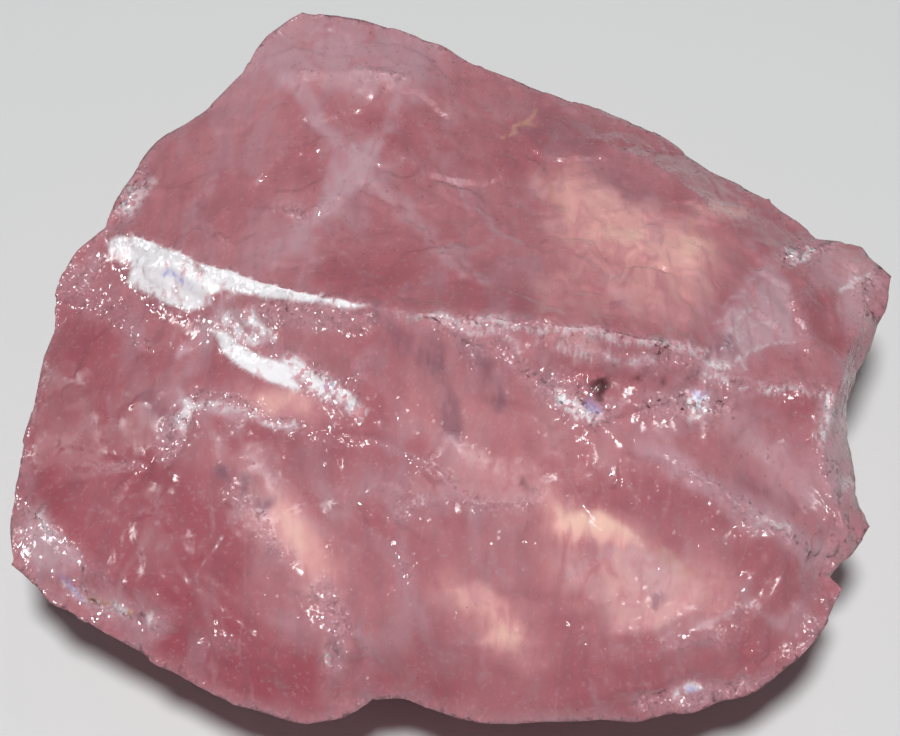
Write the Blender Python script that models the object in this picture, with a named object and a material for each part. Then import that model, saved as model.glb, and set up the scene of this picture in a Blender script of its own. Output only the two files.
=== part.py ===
"""Rough chunk of rose quartz, one closed solid that lies on its flattest broken face.

Lengths are in millimetres, and only the finished mesh is in metres. X runs to the right, Y away from the
viewer and Z up, from a level a little above the flat foot. The skin is made of three sheets that share their
edges: the top, the wall under the rim and the flat foot. Ridge lines are drawn on the top and the wall, the
skin is stretched between them like a film, and local pushes then hollow or swell the broken faces.
"""

import math

import bmesh
import bpy
import numpy as np
from mathutils import Vector, noise
from mathutils.geometry import delaunay_2d_cdt

MM = 0.001
NAME = "rose_quartz_chunk"
CHUNK_WIDTH = 84.0
FOOT_LEVEL = -6.0
ROSE = (0.46, 0.15, 0.18, 1.0)
ROUGHNESS = 0.32
QUARTZ_IOR = 1.544

TOP_SPACING = 1.4
WALL_SPACING = 2.0
FOOT_SPACING = 2.2
MERGE = 0.0001
NOISE_SEED = 11
CLEARANCE = 0.62
GRID_JITTER = 0.22
CHATTER = 0.45
CHATTER_SIZE = 3.2
GRAIN = 0.10
GRAIN_SIZE = 2.3
CREASE = math.radians(18)

# Where ridge lines meet each other or the rim.
CREST_START = (-33.2, 12.2, 19.5)
CREST_LEFT = (-21.7, 4.2, 25.2)
CREST_BEND = (-7.6, -2.3, 29.4)
CREST_MIDDLE = (-2.0, -4.3, 30.2)
CREST_END = (23.5, -7.0, 25.5)
RIGHT_KNEE = (35.5, -6.3, 20.5)
RIGHT_NICK = (36.0, 14.0, 15.5)
RIGHT_NOTCH = (35.0, -20.5, 11.5)
FRONT_NOTCH = (-7.0, -32.0, 9.5)
LEFT_BREAK = (-40.5, -9.5, 12.5)
LEFT_BULGE = (-37.9, 3.5, 15.5)
BACK_SHOULDER = (5.5, 31.0, 18.5)
BACK_LEFT = (-20.4, 29.2, 22.0)
BRIGHT_START = (-31.8, 7.6, 18.6)
SHELF_LEFT = (-22.8, -2.6, 20.6)
SHELF_RIGHT = (-8.8, -10.2, 23.6)
CENTRE = (-6.4, -13.0, 22.6)
SPINE_TOP = (-24.5, -8.7, 20.4)
LEFT_FORK = (-26.0, -11.2, 18.5)
BAND_FORK = (13.5, -12.0, 25.0)

# The rim, seen from above and starting at the back lobe, towards the right.
RIM = [
    (-14.5, 36.3, 22.5),
    (-10.5, 35.5, 22.5),
    (-5.0, 34.8, 21.5),
    (-0.5, 33.0, 20.5),
    BACK_SHOULDER,
    (13.5, 28.5, 17.5),
    (20.0, 26.0, 16.5),
    (26.0, 21.5, 16.0),
    (31.5, 18.0, 16.0),
    RIGHT_NICK,
    (40.0, 12.5, 16.0),
    (42.5, 9.2, 16.0),
    (42.0, 5.5, 15.5),
    (40.5, 2.5, 15.0),
    (38.0, -2.0, 14.5),
    (37.5, -7.5, 13.5),
    (38.0, -12.5, 12.5),
    (39.0, -16.0, 12.0),
    (37.0, -19.0, 11.5),
    RIGHT_NOTCH,
    (36.0, -22.0, 11.5),
    (34.5, -25.0, 11.0),
    (31.5, -28.8, 10.5),
    (27.0, -31.5, 9.5),
    (22.5, -33.0, 9.0),
    (17.0, -34.0, 9.0),
    (11.0, -33.5, 9.0),
    (5.5, -34.0, 8.5),
    (0.5, -33.5, 8.5),
    (-4.0, -32.0, 9.0),
    FRONT_NOTCH,
    (-9.5, -33.5, 9.0),
    (-13.0, -34.2, 8.5),
    (-19.0, -32.6, 9.0),
    (-24.5, -30.0, 10.0),
    (-31.0, -26.5, 10.5),
    (-36.5, -23.0, 11.0),
    (-40.0, -19.5, 11.5),
    (-41.0, -15.0, 12.0),
    LEFT_BREAK,
    (-39.0, -1.0, 14.2),
    LEFT_BULGE,
    (-37.5, 6.8, 17.0),
    (-35.6, 10.7, 18.5),
    CREST_START,
    (-31.7, 17.0, 20.3),
    (-28.0, 21.6, 21.3),
    (-23.4, 25.4, 21.5),
    BACK_LEFT,
    (-18.4, 33.0, 22.5),
]

TOP_RIDGES = {
    "crest, left half": [CREST_START, (-28.3, 8.7, 22.6), CREST_LEFT, (-14.5, 0.2, 27.8), CREST_BEND],
    "crest, right half": [
        CREST_BEND, CREST_MIDDLE, (5.0, -4.9, 31.0), (13.0, -5.9, 31.0), (19.0, -6.4, 29.6), CREST_END,
    ],
    "right end of the crest": [CREST_END, (28.0, -7.5, 24.0), (32.0, -6.8, 22.5), RIGHT_KNEE],
    "edge of the right lobe": [
        RIGHT_NICK, (31.5, 8.6, 20.3), (32.5, 2.8, 22.0), (33.5, -2.2, 22.0), RIGHT_KNEE,
    ],
    "right shoulder, back": [RIGHT_KNEE, (37.5, -1.0, 19.0), (39.5, 4.5, 18.3), (39.3, 9.0, 17.5)],
    "right shoulder, front": [RIGHT_KNEE, (34.5, -9.5, 19.5), (34.0, -12.5, 18.5), (36.0, -17.5, 15.0)],
    "foot of the bright face": [
        CREST_START, BRIGHT_START, (-26.8, 2.2, 19.4), SHELF_LEFT, (-18.4, -6.4, 22.0), SHELF_RIGHT, CENTRE,
    ],
    "right edge of the bright face": [CREST_BEND, (-8.0, -6.5, 26.2), SHELF_RIGHT],
    "left end of the shelf": [SHELF_LEFT, (-24.5, -5.0, 20.6), SPINE_TOP],
    "lip of the shelf": [
        LEFT_FORK, SPINE_TOP, (-22.0, -7.7, 21.4), (-18.5, -8.7, 21.8), (-14.5, -11.3, 22.0), CENTRE,
    ],
    "break behind the left face": [LEFT_BULGE, (-33.5, 2.0, 17.2), (-27.5, -0.6, 19.2), SHELF_LEFT],
    "left break": [LEFT_FORK, (-29.5, -12.4, 16.3), (-34.5, -12.3, 14.6), LEFT_BREAK],
    "spine": [
        SPINE_TOP, (-19.5, -16.3, 19.3), (-15.5, -20.8, 18.2), (-11.0, -25.6, 16.0), (-9.0, -29.5, 13.2),
        FRONT_NOTCH,
    ],
    "middle break": [CENTRE, (-2.0, -15.2, 23.1), (2.0, -18.4, 22.1), (8.5, -18.4, 22.2)],
    "band lip": [CREST_MIDDLE, (2.0, -6.7, 29.3), (5.0, -7.6, 29.0), (7.5, -9.0, 27.9), BAND_FORK],
    "band pocket": [(7.5, -6.8, 29.6), (11.0, -8.0, 27.6), (15.5, -8.6, 26.4)],
    "band end": [BAND_FORK, (17.5, -10.8, 25.6), (21.0, -9.2, 25.6), CREST_END],
    "milky ridge": [BAND_FORK, (20.5, -15.2, 22.8), (26.0, -17.4, 20.4), (31.0, -19.5, 17.2), RIGHT_NOTCH],
    "front shoulder, right": [
        (-3.5, -27.2, 15.6), (3.0, -29.2, 14.0), (16.0, -29.8, 13.8), (24.0, -28.0, 14.0),
    ],
    "front shoulder, left": [
        (-38.0, -16.0, 14.8), (-32.5, -21.5, 14.2), (-24.0, -26.3, 13.6), (-15.0, -30.4, 12.4),
    ],
    "back lobe": [BACK_LEFT, (-14.5, 27.5, 24.0), (-6.0, 27.8, 23.4), BACK_SHOULDER],
    "left of the star": [(-30.5, 15.5, 21.6), (-24.5, 13.0, 23.4), (-19.0, 7.5, 25.4)],
    "scar on the right back": [(15.0, 22.0, 20.5), (22.0, 17.5, 20.8), (27.0, 11.0, 21.6)],
}

# Corners of the flat foot, in the same order as the rim.
FOOT_BACK_LEFT = (-15.0, 27.0, FOOT_LEVEL)
FOOT_BACK = (-3.0, 30.5, FOOT_LEVEL)
FOOT_BACK_MIDDLE = (13.0, 24.0, FOOT_LEVEL)
FOOT_BACK_RIGHT = (27.0, 14.0, FOOT_LEVEL)
FOOT_RIGHT_BACK = (35.5, 4.5, FOOT_LEVEL)
FOOT_RIGHT = (33.0, -4.0, FOOT_LEVEL)
FOOT_RIGHT_FRONT = (31.0, -13.0, FOOT_LEVEL)
FOOT_FRONT_RIGHT = (23.0, -20.5, FOOT_LEVEL)
FOOT_FRONT = (8.0, -24.0, FOOT_LEVEL)
FOOT_FRONT_NOTCH = (-6.0, -22.0, FOOT_LEVEL)
FOOT_FRONT_LEFT = (-19.5, -21.0, FOOT_LEVEL)
FOOT_LEFT_FRONT = (-31.0, -11.0, FOOT_LEVEL)
FOOT_LEFT = (-32.5, -1.0, FOOT_LEVEL)
FOOT_LEFT_BACK = (-29.0, 9.5, FOOT_LEVEL)
FOOT_SHOULDER = (-21.0, 18.0, FOOT_LEVEL)
FOOT = [
    FOOT_BACK_LEFT,
    FOOT_BACK,
    (6.0, 25.0, FOOT_LEVEL),
    FOOT_BACK_MIDDLE,
    FOOT_BACK_RIGHT,
    FOOT_RIGHT_BACK,
    FOOT_RIGHT,
    FOOT_RIGHT_FRONT,
    FOOT_FRONT_RIGHT,
    FOOT_FRONT,
    FOOT_FRONT_NOTCH,
    (-13.0, -23.5, FOOT_LEVEL),
    FOOT_FRONT_LEFT,
    FOOT_LEFT_FRONT,
    FOOT_LEFT,
    FOOT_LEFT_BACK,
    FOOT_SHOULDER,
]

# Corners on the wall, where its upper and lower broken faces meet.
WALL_BACK_LEFT = (-19.5, 33.5, 12.0)
WALL_BACK = (-4.0, 36.0, 8.0)
WALL_BACK_MIDDLE = (13.5, 29.5, 2.0)
WALL_BACK_RIGHT = (32.0, 18.5, 7.0)
WALL_RIGHT_BACK = (42.0, 8.0, 5.0)
WALL_RIGHT = (37.0, -3.0, 1.5)
WALL_RIGHT_FRONT = (37.0, -15.0, 5.0)
WALL_FRONT_RIGHT = (28.5, -25.0, 4.0)
WALL_FRONT = (10.0, -28.5, 1.0)
WALL_FRONT_NOTCH = (-6.5, -27.0, 3.5)
WALL_FRONT_LEFT = (-22.0, -25.5, 1.5)
WALL_LEFT_FRONT = (-37.5, -14.5, 4.5)
WALL_LEFT = (-39.2, -1.0, 5.0)
WALL_LEFT_BACK = (-34.5, 11.5, 3.0)
WALL_SHOULDER = (-25.5, 25.0, 7.0)

WALL_RIDGES = [
    [(-18.4, 33.0, 22.5), WALL_BACK_LEFT, FOOT_BACK_LEFT],
    [(-5.0, 34.8, 21.5), WALL_BACK, (-3.5, 33.5, 0.5), FOOT_BACK],
    [(13.5, 28.5, 17.5), WALL_BACK_MIDDLE, FOOT_BACK_MIDDLE],
    [(31.5, 18.0, 16.0), WALL_BACK_RIGHT, FOOT_BACK_RIGHT],
    [(42.5, 9.2, 16.0), WALL_RIGHT_BACK, FOOT_RIGHT_BACK],
    [(38.0, -2.0, 14.5), WALL_RIGHT, FOOT_RIGHT],
    [(39.0, -16.0, 12.0), WALL_RIGHT_FRONT, FOOT_RIGHT_FRONT],
    [(31.5, -28.8, 10.5), WALL_FRONT_RIGHT, FOOT_FRONT_RIGHT],
    [(11.0, -33.5, 9.0), WALL_FRONT, FOOT_FRONT],
    [FRONT_NOTCH, WALL_FRONT_NOTCH, FOOT_FRONT_NOTCH],
    [(-24.5, -30.0, 10.0), WALL_FRONT_LEFT, FOOT_FRONT_LEFT],
    [(-40.0, -19.5, 11.5), WALL_LEFT_FRONT, FOOT_LEFT_FRONT],
    [(-39.0, -1.0, 14.2), WALL_LEFT, FOOT_LEFT],
    [CREST_START, WALL_LEFT_BACK, FOOT_LEFT_BACK],
    [(-23.4, 25.4, 21.5), WALL_SHOULDER, FOOT_SHOULDER],
    [WALL_LEFT_BACK, WALL_SHOULDER, WALL_BACK_LEFT, WALL_BACK],
    [WALL_BACK, (5.0, 32.0, 5.0), WALL_BACK_MIDDLE],
    [(20.0, 26.0, 16.5), (23.5, 24.0, 10.0), WALL_BACK_RIGHT, WALL_RIGHT_BACK],
    [WALL_RIGHT_BACK, (39.5, 1.5, 6.5), WALL_RIGHT, WALL_RIGHT_FRONT],
    [WALL_RIGHT_FRONT, WALL_FRONT_RIGHT, WALL_FRONT, FOOT_FRONT_NOTCH],
    [WALL_FRONT_NOTCH, (-13.0, -29.0, 3.0), WALL_FRONT_LEFT, WALL_LEFT_FRONT],
    [WALL_LEFT_FRONT, (-39.2, -8.0, 2.0), WALL_LEFT, (-36.8, 7.5, 8.5), CREST_START],
]

# Broken faces hollowed (minus) or swollen (plus). On the top: middle x and y, radius, and how far.
# On the wall: direction in degrees, radius, and how far.
TOP_PUSHES = [
    (2.0, 14.0, 20.0, -0.8),
    (-13.0, 17.0, 10.0, 0.5),
    (21.0, 3.0, 9.0, 1.0),
    (-26.0, 21.0, 5.0, 0.5),
    (-22.0, 1.6, 5.0, -0.5),
    (-14.0, -4.0, 6.0, -0.5),
    (-15.0, -8.5, 5.0, -1.6),
    (-33.0, -5.0, 8.0, 0.9),
    (-28.0, -18.0, 8.0, 1.0),
    (-14.0, -28.0, 5.0, 0.6),
    (-3.0, -9.5, 5.0, -1.3),
    (-14.0, -15.0, 5.0, -1.2),
    (-4.0, -21.5, 7.0, 0.9),
    (12.0, -24.0, 11.0, 1.5),
    (3.0, -13.5, 5.0, -1.0),
    (20.0, -13.2, 4.0, -0.9),
    (28.0, -12.5, 6.0, -2.0),
    (20.0, -23.0, 6.0, -1.2),
    (26.0, -22.5, 7.0, 0.8),
]
WALL_PUSHES = [
    (104, 8.0, -1.6),
    (81, 8.0, -1.0),
    (43, 8.0, 1.0),
    (3, 6.0, -1.0),
    (-15, 6.0, 0.8),
    (-38, 7.0, -0.8),
    (-60, 7.0, 0.7),
    (238, 8.0, 0.8),
    (215, 7.0, -0.8),
    (194, 8.0, -1.2),
    (171, 6.0, 0.9),
    (144, 7.0, -1.2),
]

# The wall is triangulated on a flat ring, with the foot on its inner circle and the rim on its outer one.
RING_INNER = 38.0
RING_OUTER = 55.0
RING_MIDDLE = (RING_INNER + RING_OUTER) / 2


def chattered(point):
    """The point moved a little, as a broken edge wanders. Points that lines share move together."""
    step = noise.noise_vector(Vector(point) / CHATTER_SIZE) * CHATTER
    if point[2] == FOOT_LEVEL:
        step.z = 0.0
    return tuple(Vector(point) + step)


def stepped(line, spacing, closed=False):
    """Points about a spacing apart along a drawn line, with its corners kept."""
    corners = line + line[:1] if closed else line
    points = []
    for start, end in zip(corners, corners[1:]):
        start, end = Vector(start), Vector(end)
        steps = max(1, round((end - start).length / spacing))
        points += [start.lerp(end, step / steps) for step in range(steps)]
    if not closed:
        points.append(Vector(line[-1]))
    return [chattered(point) for point in points]


def chain(count, closed):
    """Edges that join the points of a line one after another."""
    edges = [(n, n + 1) for n in range(count - 1)]
    return edges + [(count - 1, 0)] if closed else edges


def inside(points, loop):
    """Whether each flat point lies inside a closed loop, by the sides that a line to its left crosses."""
    crossed = np.zeros(len(points), bool)
    for (x0, y0), (x1, y1) in zip(loop, np.roll(loop, -1, axis=0)):
        if y0 == y1:
            continue
        between = (points[:, 1] < y0) != (points[:, 1] < y1)
        crossing = x0 + (points[:, 1] - y0) / (y1 - y0) * (x1 - x0)
        crossed ^= between & (points[:, 0] > crossing)
    return crossed


def fill_points(taken, loop, hole_radius, spacing):
    """A jittered triangular grid inside a loop, outside a round hole and clear of the points already taken."""
    reach = np.abs(loop).max()
    grid = []
    for number, y in enumerate(np.arange(-reach, reach, spacing * math.sqrt(0.75))):
        for x in np.arange(-reach, reach, spacing) + spacing / 2 * (number % 2):
            wander = noise.noise_vector(Vector((x, y, spacing))) * GRID_JITTER * spacing
            grid.append((x + wander.x, y + wander.y))
    grid = np.array(grid)
    grid = grid[inside(grid, loop) & (np.hypot(grid[:, 0], grid[:, 1]) > hole_radius)]
    nearest = np.array([np.hypot(*(taken - point).T).min() for point in grid])
    return grid[nearest > CLEARANCE * spacing]


def triangulated(lines, flatten, hole_radius, spacing):
    """Flat points, their triangles, and the place in space of each flat point that a line sets.

    The first line is the outer loop. A line is its points and whether it is closed.
    """
    flat, edges, places = [], [], []
    for points, closed in lines:
        edges += [(len(flat) + a, len(flat) + b) for a, b in chain(len(points), closed)]
        flat += [flatten(point) for point in points]
        places += points
    loop = np.array(flat[: len(lines[0][0])])
    flat += [tuple(point) for point in fill_points(np.array(flat), loop, hole_radius, spacing)]
    found = delaunay_2d_cdt([Vector(point) for point in flat], edges, [], 1, MERGE)
    pinned = {}
    for number, sources in enumerate(found[3]):
        held = [source for source in sources if source < len(places)]
        if held:
            pinned[number] = places[held[0]]
    return np.array([tuple(point) for point in found[0]]), np.array(found[2]), pinned


def stretched(triangles, pinned, load):
    """Places of all points when those not pinned hang between their neighbours and are pushed by a load."""
    count = len(load)
    joined = np.zeros((count, count))
    for a, b in ((0, 1), (1, 2), (2, 0)):
        joined[triangles[:, a], triangles[:, b]] = 1
        joined[triangles[:, b], triangles[:, a]] = 1
    balance = np.diag(joined.sum(axis=1)) - joined
    held = np.array(sorted(pinned))
    free = np.setdiff1d(np.unique(triangles), held)
    places = np.zeros((count, 3))
    places[held] = [pinned[number] for number in held]
    known = load[free] - balance[np.ix_(free, held)] @ places[held]
    places[free] = np.linalg.solve(balance[np.ix_(free, free)], known)
    return places


def push_strength(flat, pushes, spacing):
    """How hard each flat point is pushed, so that the film moves about as far as each push says."""
    strength = np.zeros(len(flat))
    for x, y, radius, depth in pushes:
        nearness = np.clip(1 - np.hypot(flat[:, 0] - x, flat[:, 1] - y) / radius, 0, 1)
        strength += 6 * depth * (spacing / radius) ** 2 * np.minimum(1, 2 * nearness)
    return strength


def top_sheet(rim):
    """Places and triangles of the top, which is seen whole from above."""
    lines = [(rim, True)] + [(stepped(ridge, TOP_SPACING), False) for ridge in TOP_RIDGES.values()]
    flat, triangles, pinned = triangulated(lines, lambda point: point[:2], 0.0, TOP_SPACING)
    load = np.zeros((len(flat), 3))
    load[:, 2] = push_strength(flat, TOP_PUSHES, TOP_SPACING)
    places = stretched(triangles, pinned, load)
    free = np.setdiff1d(np.arange(len(flat)), list(pinned))
    places[free, :2] = flat[free]
    return places, triangles


def wall_sheet(rim, foot):
    """Places and triangles of the wall between the rim and the foot."""
    directions = np.array([math.atan2(point[1], point[0]) for point in rim])
    order = np.argsort(directions)
    heights = np.array(rim)[order, 2]

    def flatten(point):
        direction = math.atan2(point[1], point[0])
        rim_height = np.interp(direction, directions[order], heights, period=2 * math.pi)
        risen = min((point[2] - FOOT_LEVEL) / (rim_height - FOOT_LEVEL), 1.0)
        radius = RING_INNER + (RING_OUTER - RING_INNER) * risen
        return radius * math.cos(direction), radius * math.sin(direction)

    lines = [(rim, True), (foot, True)] + [(stepped(ridge, WALL_SPACING), False) for ridge in WALL_RIDGES]
    flat, triangles, pinned = triangulated(lines, flatten, RING_INNER, WALL_SPACING)
    on_foot = np.array([number in pinned and pinned[number][2] == FOOT_LEVEL for number in range(len(flat))])
    triangles = triangles[~on_foot[triangles].all(axis=1)]
    outward = flat / np.hypot(flat[:, 0], flat[:, 1])[:, None]
    pushes = []
    for degrees, radius, depth in WALL_PUSHES:
        direction = math.radians(degrees)
        pushes.append((RING_MIDDLE * math.cos(direction), RING_MIDDLE * math.sin(direction), radius, depth))
    load = np.zeros((len(flat), 3))
    load[:, :2] = outward * push_strength(flat, pushes, WALL_SPACING)[:, None]
    return stretched(triangles, pinned, load), triangles


def foot_sheet(foot):
    """Places and triangles of the flat foot."""
    found = delaunay_2d_cdt([Vector(point[:2]) for point in foot], chain(len(foot), True), [], 1, MERGE)
    return np.array([(x, y, FOOT_LEVEL) for x, y in found[0]]), np.array(found[2])


def grained(point):
    """The point with the fine unevenness of broken quartz. The flat foot stays flat."""
    if point[2] < FOOT_LEVEL + MERGE:
        return Vector(point)
    return Vector(point) + noise.noise_vector(Vector(point) / GRAIN_SIZE) * GRAIN


def joined_mesh(sheets):
    """One closed mesh in metres from the sheets, centred over its origin and scaled to the real width."""
    places = np.vstack([points for points, _ in sheets])
    places = np.array([grained(point) for point in places])
    starts = np.cumsum([0] + [len(points) for points, _ in sheets])
    faces = np.vstack([triangles + start for (_, triangles), start in zip(sheets, starts)])
    low, high = places[np.unique(faces)].min(axis=0), places[np.unique(faces)].max(axis=0)
    middle = (low + high) / 2
    places -= (middle[0], middle[1], low[2])
    places *= CHUNK_WIDTH / (high[0] - low[0]) * MM
    mesh = bpy.data.meshes.new(NAME)
    mesh.from_pydata(places.tolist(), [], faces.tolist())
    shape = bmesh.new()
    shape.from_mesh(mesh)
    bmesh.ops.remove_doubles(shape, verts=shape.verts, dist=MERGE * MM)
    bmesh.ops.delete(shape, geom=[corner for corner in shape.verts if not corner.link_faces], context="VERTS")
    bmesh.ops.recalc_face_normals(shape, faces=shape.faces)
    shape.to_mesh(mesh)
    shape.free()
    return mesh


def rose_quartz():
    """Milky pink quartz with a glassy broken surface."""
    material = bpy.data.materials.new("rose quartz")
    material.use_nodes = True
    shader = material.node_tree.nodes["Principled BSDF"]
    shader.inputs["Base Color"].default_value = ROSE
    shader.inputs["Roughness"].default_value = ROUGHNESS
    shader.inputs["Metallic"].default_value = 0.0
    shader.inputs["IOR"].default_value = QUARTZ_IOR
    return material


def chunk():
    """The whole stone as one object."""
    rim = stepped(RIM, TOP_SPACING, closed=True)
    foot = stepped(FOOT, FOOT_SPACING, closed=True)
    mesh = joined_mesh([top_sheet(rim), wall_sheet(rim, foot), foot_sheet(foot)])
    mesh.shade_smooth()
    mesh.set_sharp_from_angle(angle=CREASE)
    mesh.materials.append(rose_quartz())
    stone = bpy.data.objects.new(NAME, mesh)
    bpy.context.scene.collection.objects.link(stone)


for old in list(bpy.data.objects):
    bpy.data.objects.remove(old)
noise.seed_set(NOISE_SEED)
chunk()
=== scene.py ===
"""Looks of the rose quartz chunk: a finely broken surface over the CAD solid, in cloudy pink quartz.

Lengths are in metres, except where a name or a comment says otherwise. Places on the stone are named by
their pixel in the photograph's 900 by 736 frame, and its camera carries them onto the stone.
"""

import math

import bmesh
import bpy
import numpy as np
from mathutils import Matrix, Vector, noise


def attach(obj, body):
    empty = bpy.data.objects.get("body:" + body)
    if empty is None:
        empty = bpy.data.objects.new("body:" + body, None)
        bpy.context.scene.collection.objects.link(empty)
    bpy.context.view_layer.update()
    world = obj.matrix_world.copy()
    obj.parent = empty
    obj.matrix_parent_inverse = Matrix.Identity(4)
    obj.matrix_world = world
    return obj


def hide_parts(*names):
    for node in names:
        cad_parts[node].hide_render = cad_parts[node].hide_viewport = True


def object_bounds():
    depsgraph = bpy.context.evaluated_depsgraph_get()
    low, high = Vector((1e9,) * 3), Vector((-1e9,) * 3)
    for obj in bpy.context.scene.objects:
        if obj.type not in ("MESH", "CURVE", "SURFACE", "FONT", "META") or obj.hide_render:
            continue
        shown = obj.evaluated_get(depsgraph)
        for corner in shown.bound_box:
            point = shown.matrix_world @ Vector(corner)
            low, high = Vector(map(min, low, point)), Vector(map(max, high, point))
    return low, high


NODE = "rose_quartz_chunk"
MM = 0.001
NOISE_SEED = 5

# The photograph's camera.
PHOTO_WIDTH = 900
PHOTO_HEIGHT = 736
FOCAL_PX = 2404.0
SENSOR_WIDTH_MM = 36.0
CAMERA_ELEVATION = math.radians(60)
CAMERA_DISTANCE = 0.230
CAMERA_TARGET = Vector((-0.00075, -0.00105, 0.020))
CLIP_START = 0.01

# Dense skin: how far an edge bends before it stays sharp, and before it counts as a ridge.
WELD = 1e-6
SUBDIVISIONS = 2
CREASE_START = math.radians(7)
CREASE_FULL = math.radians(26)
RIDGE_START = math.radians(12)
RIDGE_FULL = math.radians(34)

# Uneven surface: size, seed and height of each layer.
CHIPS = ((1.3 * MM, 1.0, 0.30 * MM), (0.7 * MM, 4.0, 0.16 * MM))
BREAKS = ((6.0 * MM, 2.0, 0.30 * MM), (3.1 * MM, 6.0, 0.10 * MM))
SWELLS = ((4.0 * MM, 7.0, 0.06 * MM), (1.6 * MM, 9.0, 0.02 * MM))
RIPPLE_WANDER = ((9 * MM, 3.0, 0.8 * MM),)
RIPPLE_CORE = 0.4
FOOT_FADE = 0.0012

# Chips: how their borders wander, how much they step, and the keys that draw their tilt and their step.
CHIP_WANDER_SCALE = 1.7
CHIP_WANDER = 0.4
CHIP_STEP = 0.35
CHIP_TILT_KEY = 7.3
CHIP_STEP_KEY = 3.1

# Smooth noise.
FRACTAL_FALLOFF = 0.9
FRACTAL_SCALING = 2.1
FRACTAL_OCTAVES = 3

# Where the marks show: points that face the camera and look up. The lobes also turn to the front.
FACING_FULL = 0.25
UPWARD_START = -0.05
UPWARD_FULL = 0.15
MIRROR_TURN = 0.12

# Rough patches outside the photograph's view, how much calmer the mirror-bright lobes are, and how rough
# the sharpest ridges are at least.
PATCH_SIZE = 7 * MM
PATCH_SEED = 11.0
PATCH_START = 0.25
PATCH_FULL = 0.75
PATCH_STRENGTH = 0.8
MIRROR_CALM = 0.6
RIDGE_HACKLE = 0.6

# Edges of the marks: how far they wander, coarsely and finely, and how softly they end.
MARK_WANDER_SIZE = 3.6 * MM
MARK_WANDER_PX = 10.0
FINE_WANDER_SCALE = 3
FINE_WANDER_SHARE = 0.5
EDGE_SOFTNESS_PX = 3.0
VEIL_SOFTNESS_PX = 7.0
STROKE_CORE = 0.25
STROKE_REACH = 1.6

# Flakes that only turn the light.
FLAKE_TILT = 0.9
GLINT_SIZE = 0.28 * MM
GLINT_RARITY = 0.84
GLINT_EDGE = 0.02
GLINT_TILT = 0.40
COARSE_FLAKE_SIZE = 0.95 * MM
COARSE_FLAKE_SHARE = 0.6
COARSE_FLAKE_TILT = 0.06

# Colours, as linear light.
ROSE = (0.72, 0.280, 0.320)
# The deeper rose: the stone's own tone in its clouds, and also painted shade.
DEEP_ROSE = (0.53, 0.115, 0.150)
MILK = (0.72, 0.44, 0.50)
# Painted glow: light scattered out of the stone, painted as peach with a yellow core.
PAINTED_GLOW_PEACH = (1.0, 0.53, 0.49)
PAINTED_GLOW_YELLOW = (1.0, 0.68, 0.54)
# Smoky colour of the streaks in the quartz, and of the painted shade in a pit at the crest's end.
SMOKE_AND_SHADE = (0.36, 0.17, 0.22)
STAIN = (0.10, 0.035, 0.04)
PALE_EDGE = (0.85, 0.50, 0.57)
# White of the painted glare and glints, where the lamps mirror in the lobes and along the ridges.
PAINTED_GLARE_WHITE = (0.98, 0.95, 0.98)
VIOLET_GLINT = (0.42, 0.40, 0.85)
AMBER_GLINT = (0.85, 0.42, 0.22)
FLOOR_WHITE = (0.78, 0.79, 0.79)

# Patterns in the quartz: size, detail, distortion, stretch along the axes and seed of the noise, then the
# values where the pattern starts and where it is full.
PATTERNS = {
    "cloud": (9 * MM, 2.0, 0.0, (1, 1, 1), 0.3, 0.35, 0.7),
    "haze": (4.5 * MM, 3.0, 0.8, (1.0, 0.6, 0.8), 0.8, 0.45, 0.75),
    "veins": (6 * MM, 3.0, 1.5, (1.0, 0.4, 0.8), 0.5, 0.56, 0.72),
    "fibres": (1.6 * MM, 3.0, 1.0, (1.0, 0.35, 0.6), 0.1, 0.25, 0.65),
    "streaks": (1.2 * MM, 2.0, 0.0, (1.0, 0.25, 0.4), 0.7, 0.3, 0.62),
    "uneven": (2.5 * MM, 2.0, 0.0, (1, 1, 1), 0.2, 0.35, 0.75),
}
GRAIN_SIZE = 0.45 * MM
GRAIN_SEED = 0.4
SPECK_START = 0.20
SPECK_FULL = 0.17
DUST_START = 0.56
DUST_FULL = 0.74
CRACK_SPACING = 12 * MM
CRACK_STRETCH = (1.0, 0.5, 0.8)
CRACK_SEED = 0.6
CRACK_WIDTH = 0.010
SHARD_SIZE = 0.42 * MM
SHARD_STRETCH = (1.0, 1.0, 0.4)
SHARD_TURN = (0.5, 0.3, 0.6)
SHARD_START = 0.30
SHARD_FULL = 0.60

# How much of each pattern's or mark's colour is mixed in. Walls turn to the deeper rose as painted shade.
CLOUD_SHARE = 0.48
HAZE_SHARE = 0.5
WALL_SHADE = 0.7
PAINTED_SHADE_SHARE = 0.95
VEIN_SHARE = 0.35
CRACK_SHARE = 0.22
DUST_SHARE = 0.30
STREAK_SHARE = 0.22
HACKLE_SHARE = 0.45
SPECK_SHARE = 0.5

# The least share of itself that a mark keeps between the fibres or shards, and how much the fibres of a
# painted glow's core and the shards of the painted glare on the mirror-bright lobes count.
PAINTED_GLOW_BASE = 0.25
PAINTED_GLOW_CORE_BASE = 0.6
PAINTED_GLOW_CORE_FIBRES = 0.3
MILK_BASE = 0.35
PAINTED_GLINT_BASE = 0.1
PAINTED_GLARE_BASE = 0.25
PAINTED_GLARE_SHARDS = 0.35

# Gloss and clearness.
QUARTZ_IOR = 1.544
CLEARNESS = 0.3
MILK_CLOUDINESS = 0.4
ROUGHNESS = 0.14
UNEVEN_ROUGHNESS = 0.16
CALM_ROUGHNESS = 0.35
MIRROR_ROUGHNESS = 0.12
ABSORPTION_COLOUR = (0.93, 0.42, 0.48)
ABSORPTION_DENSITY = 70.0

# Studio.
FLOOR_REACH = 1.5
FLOOR_ROUGHNESS = 0.7
WORLD_COLOUR = (0.80, 0.82, 0.85)
WORLD_STRENGTH = 0.09
LIGHT_DISTANCE = 0.60

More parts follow.
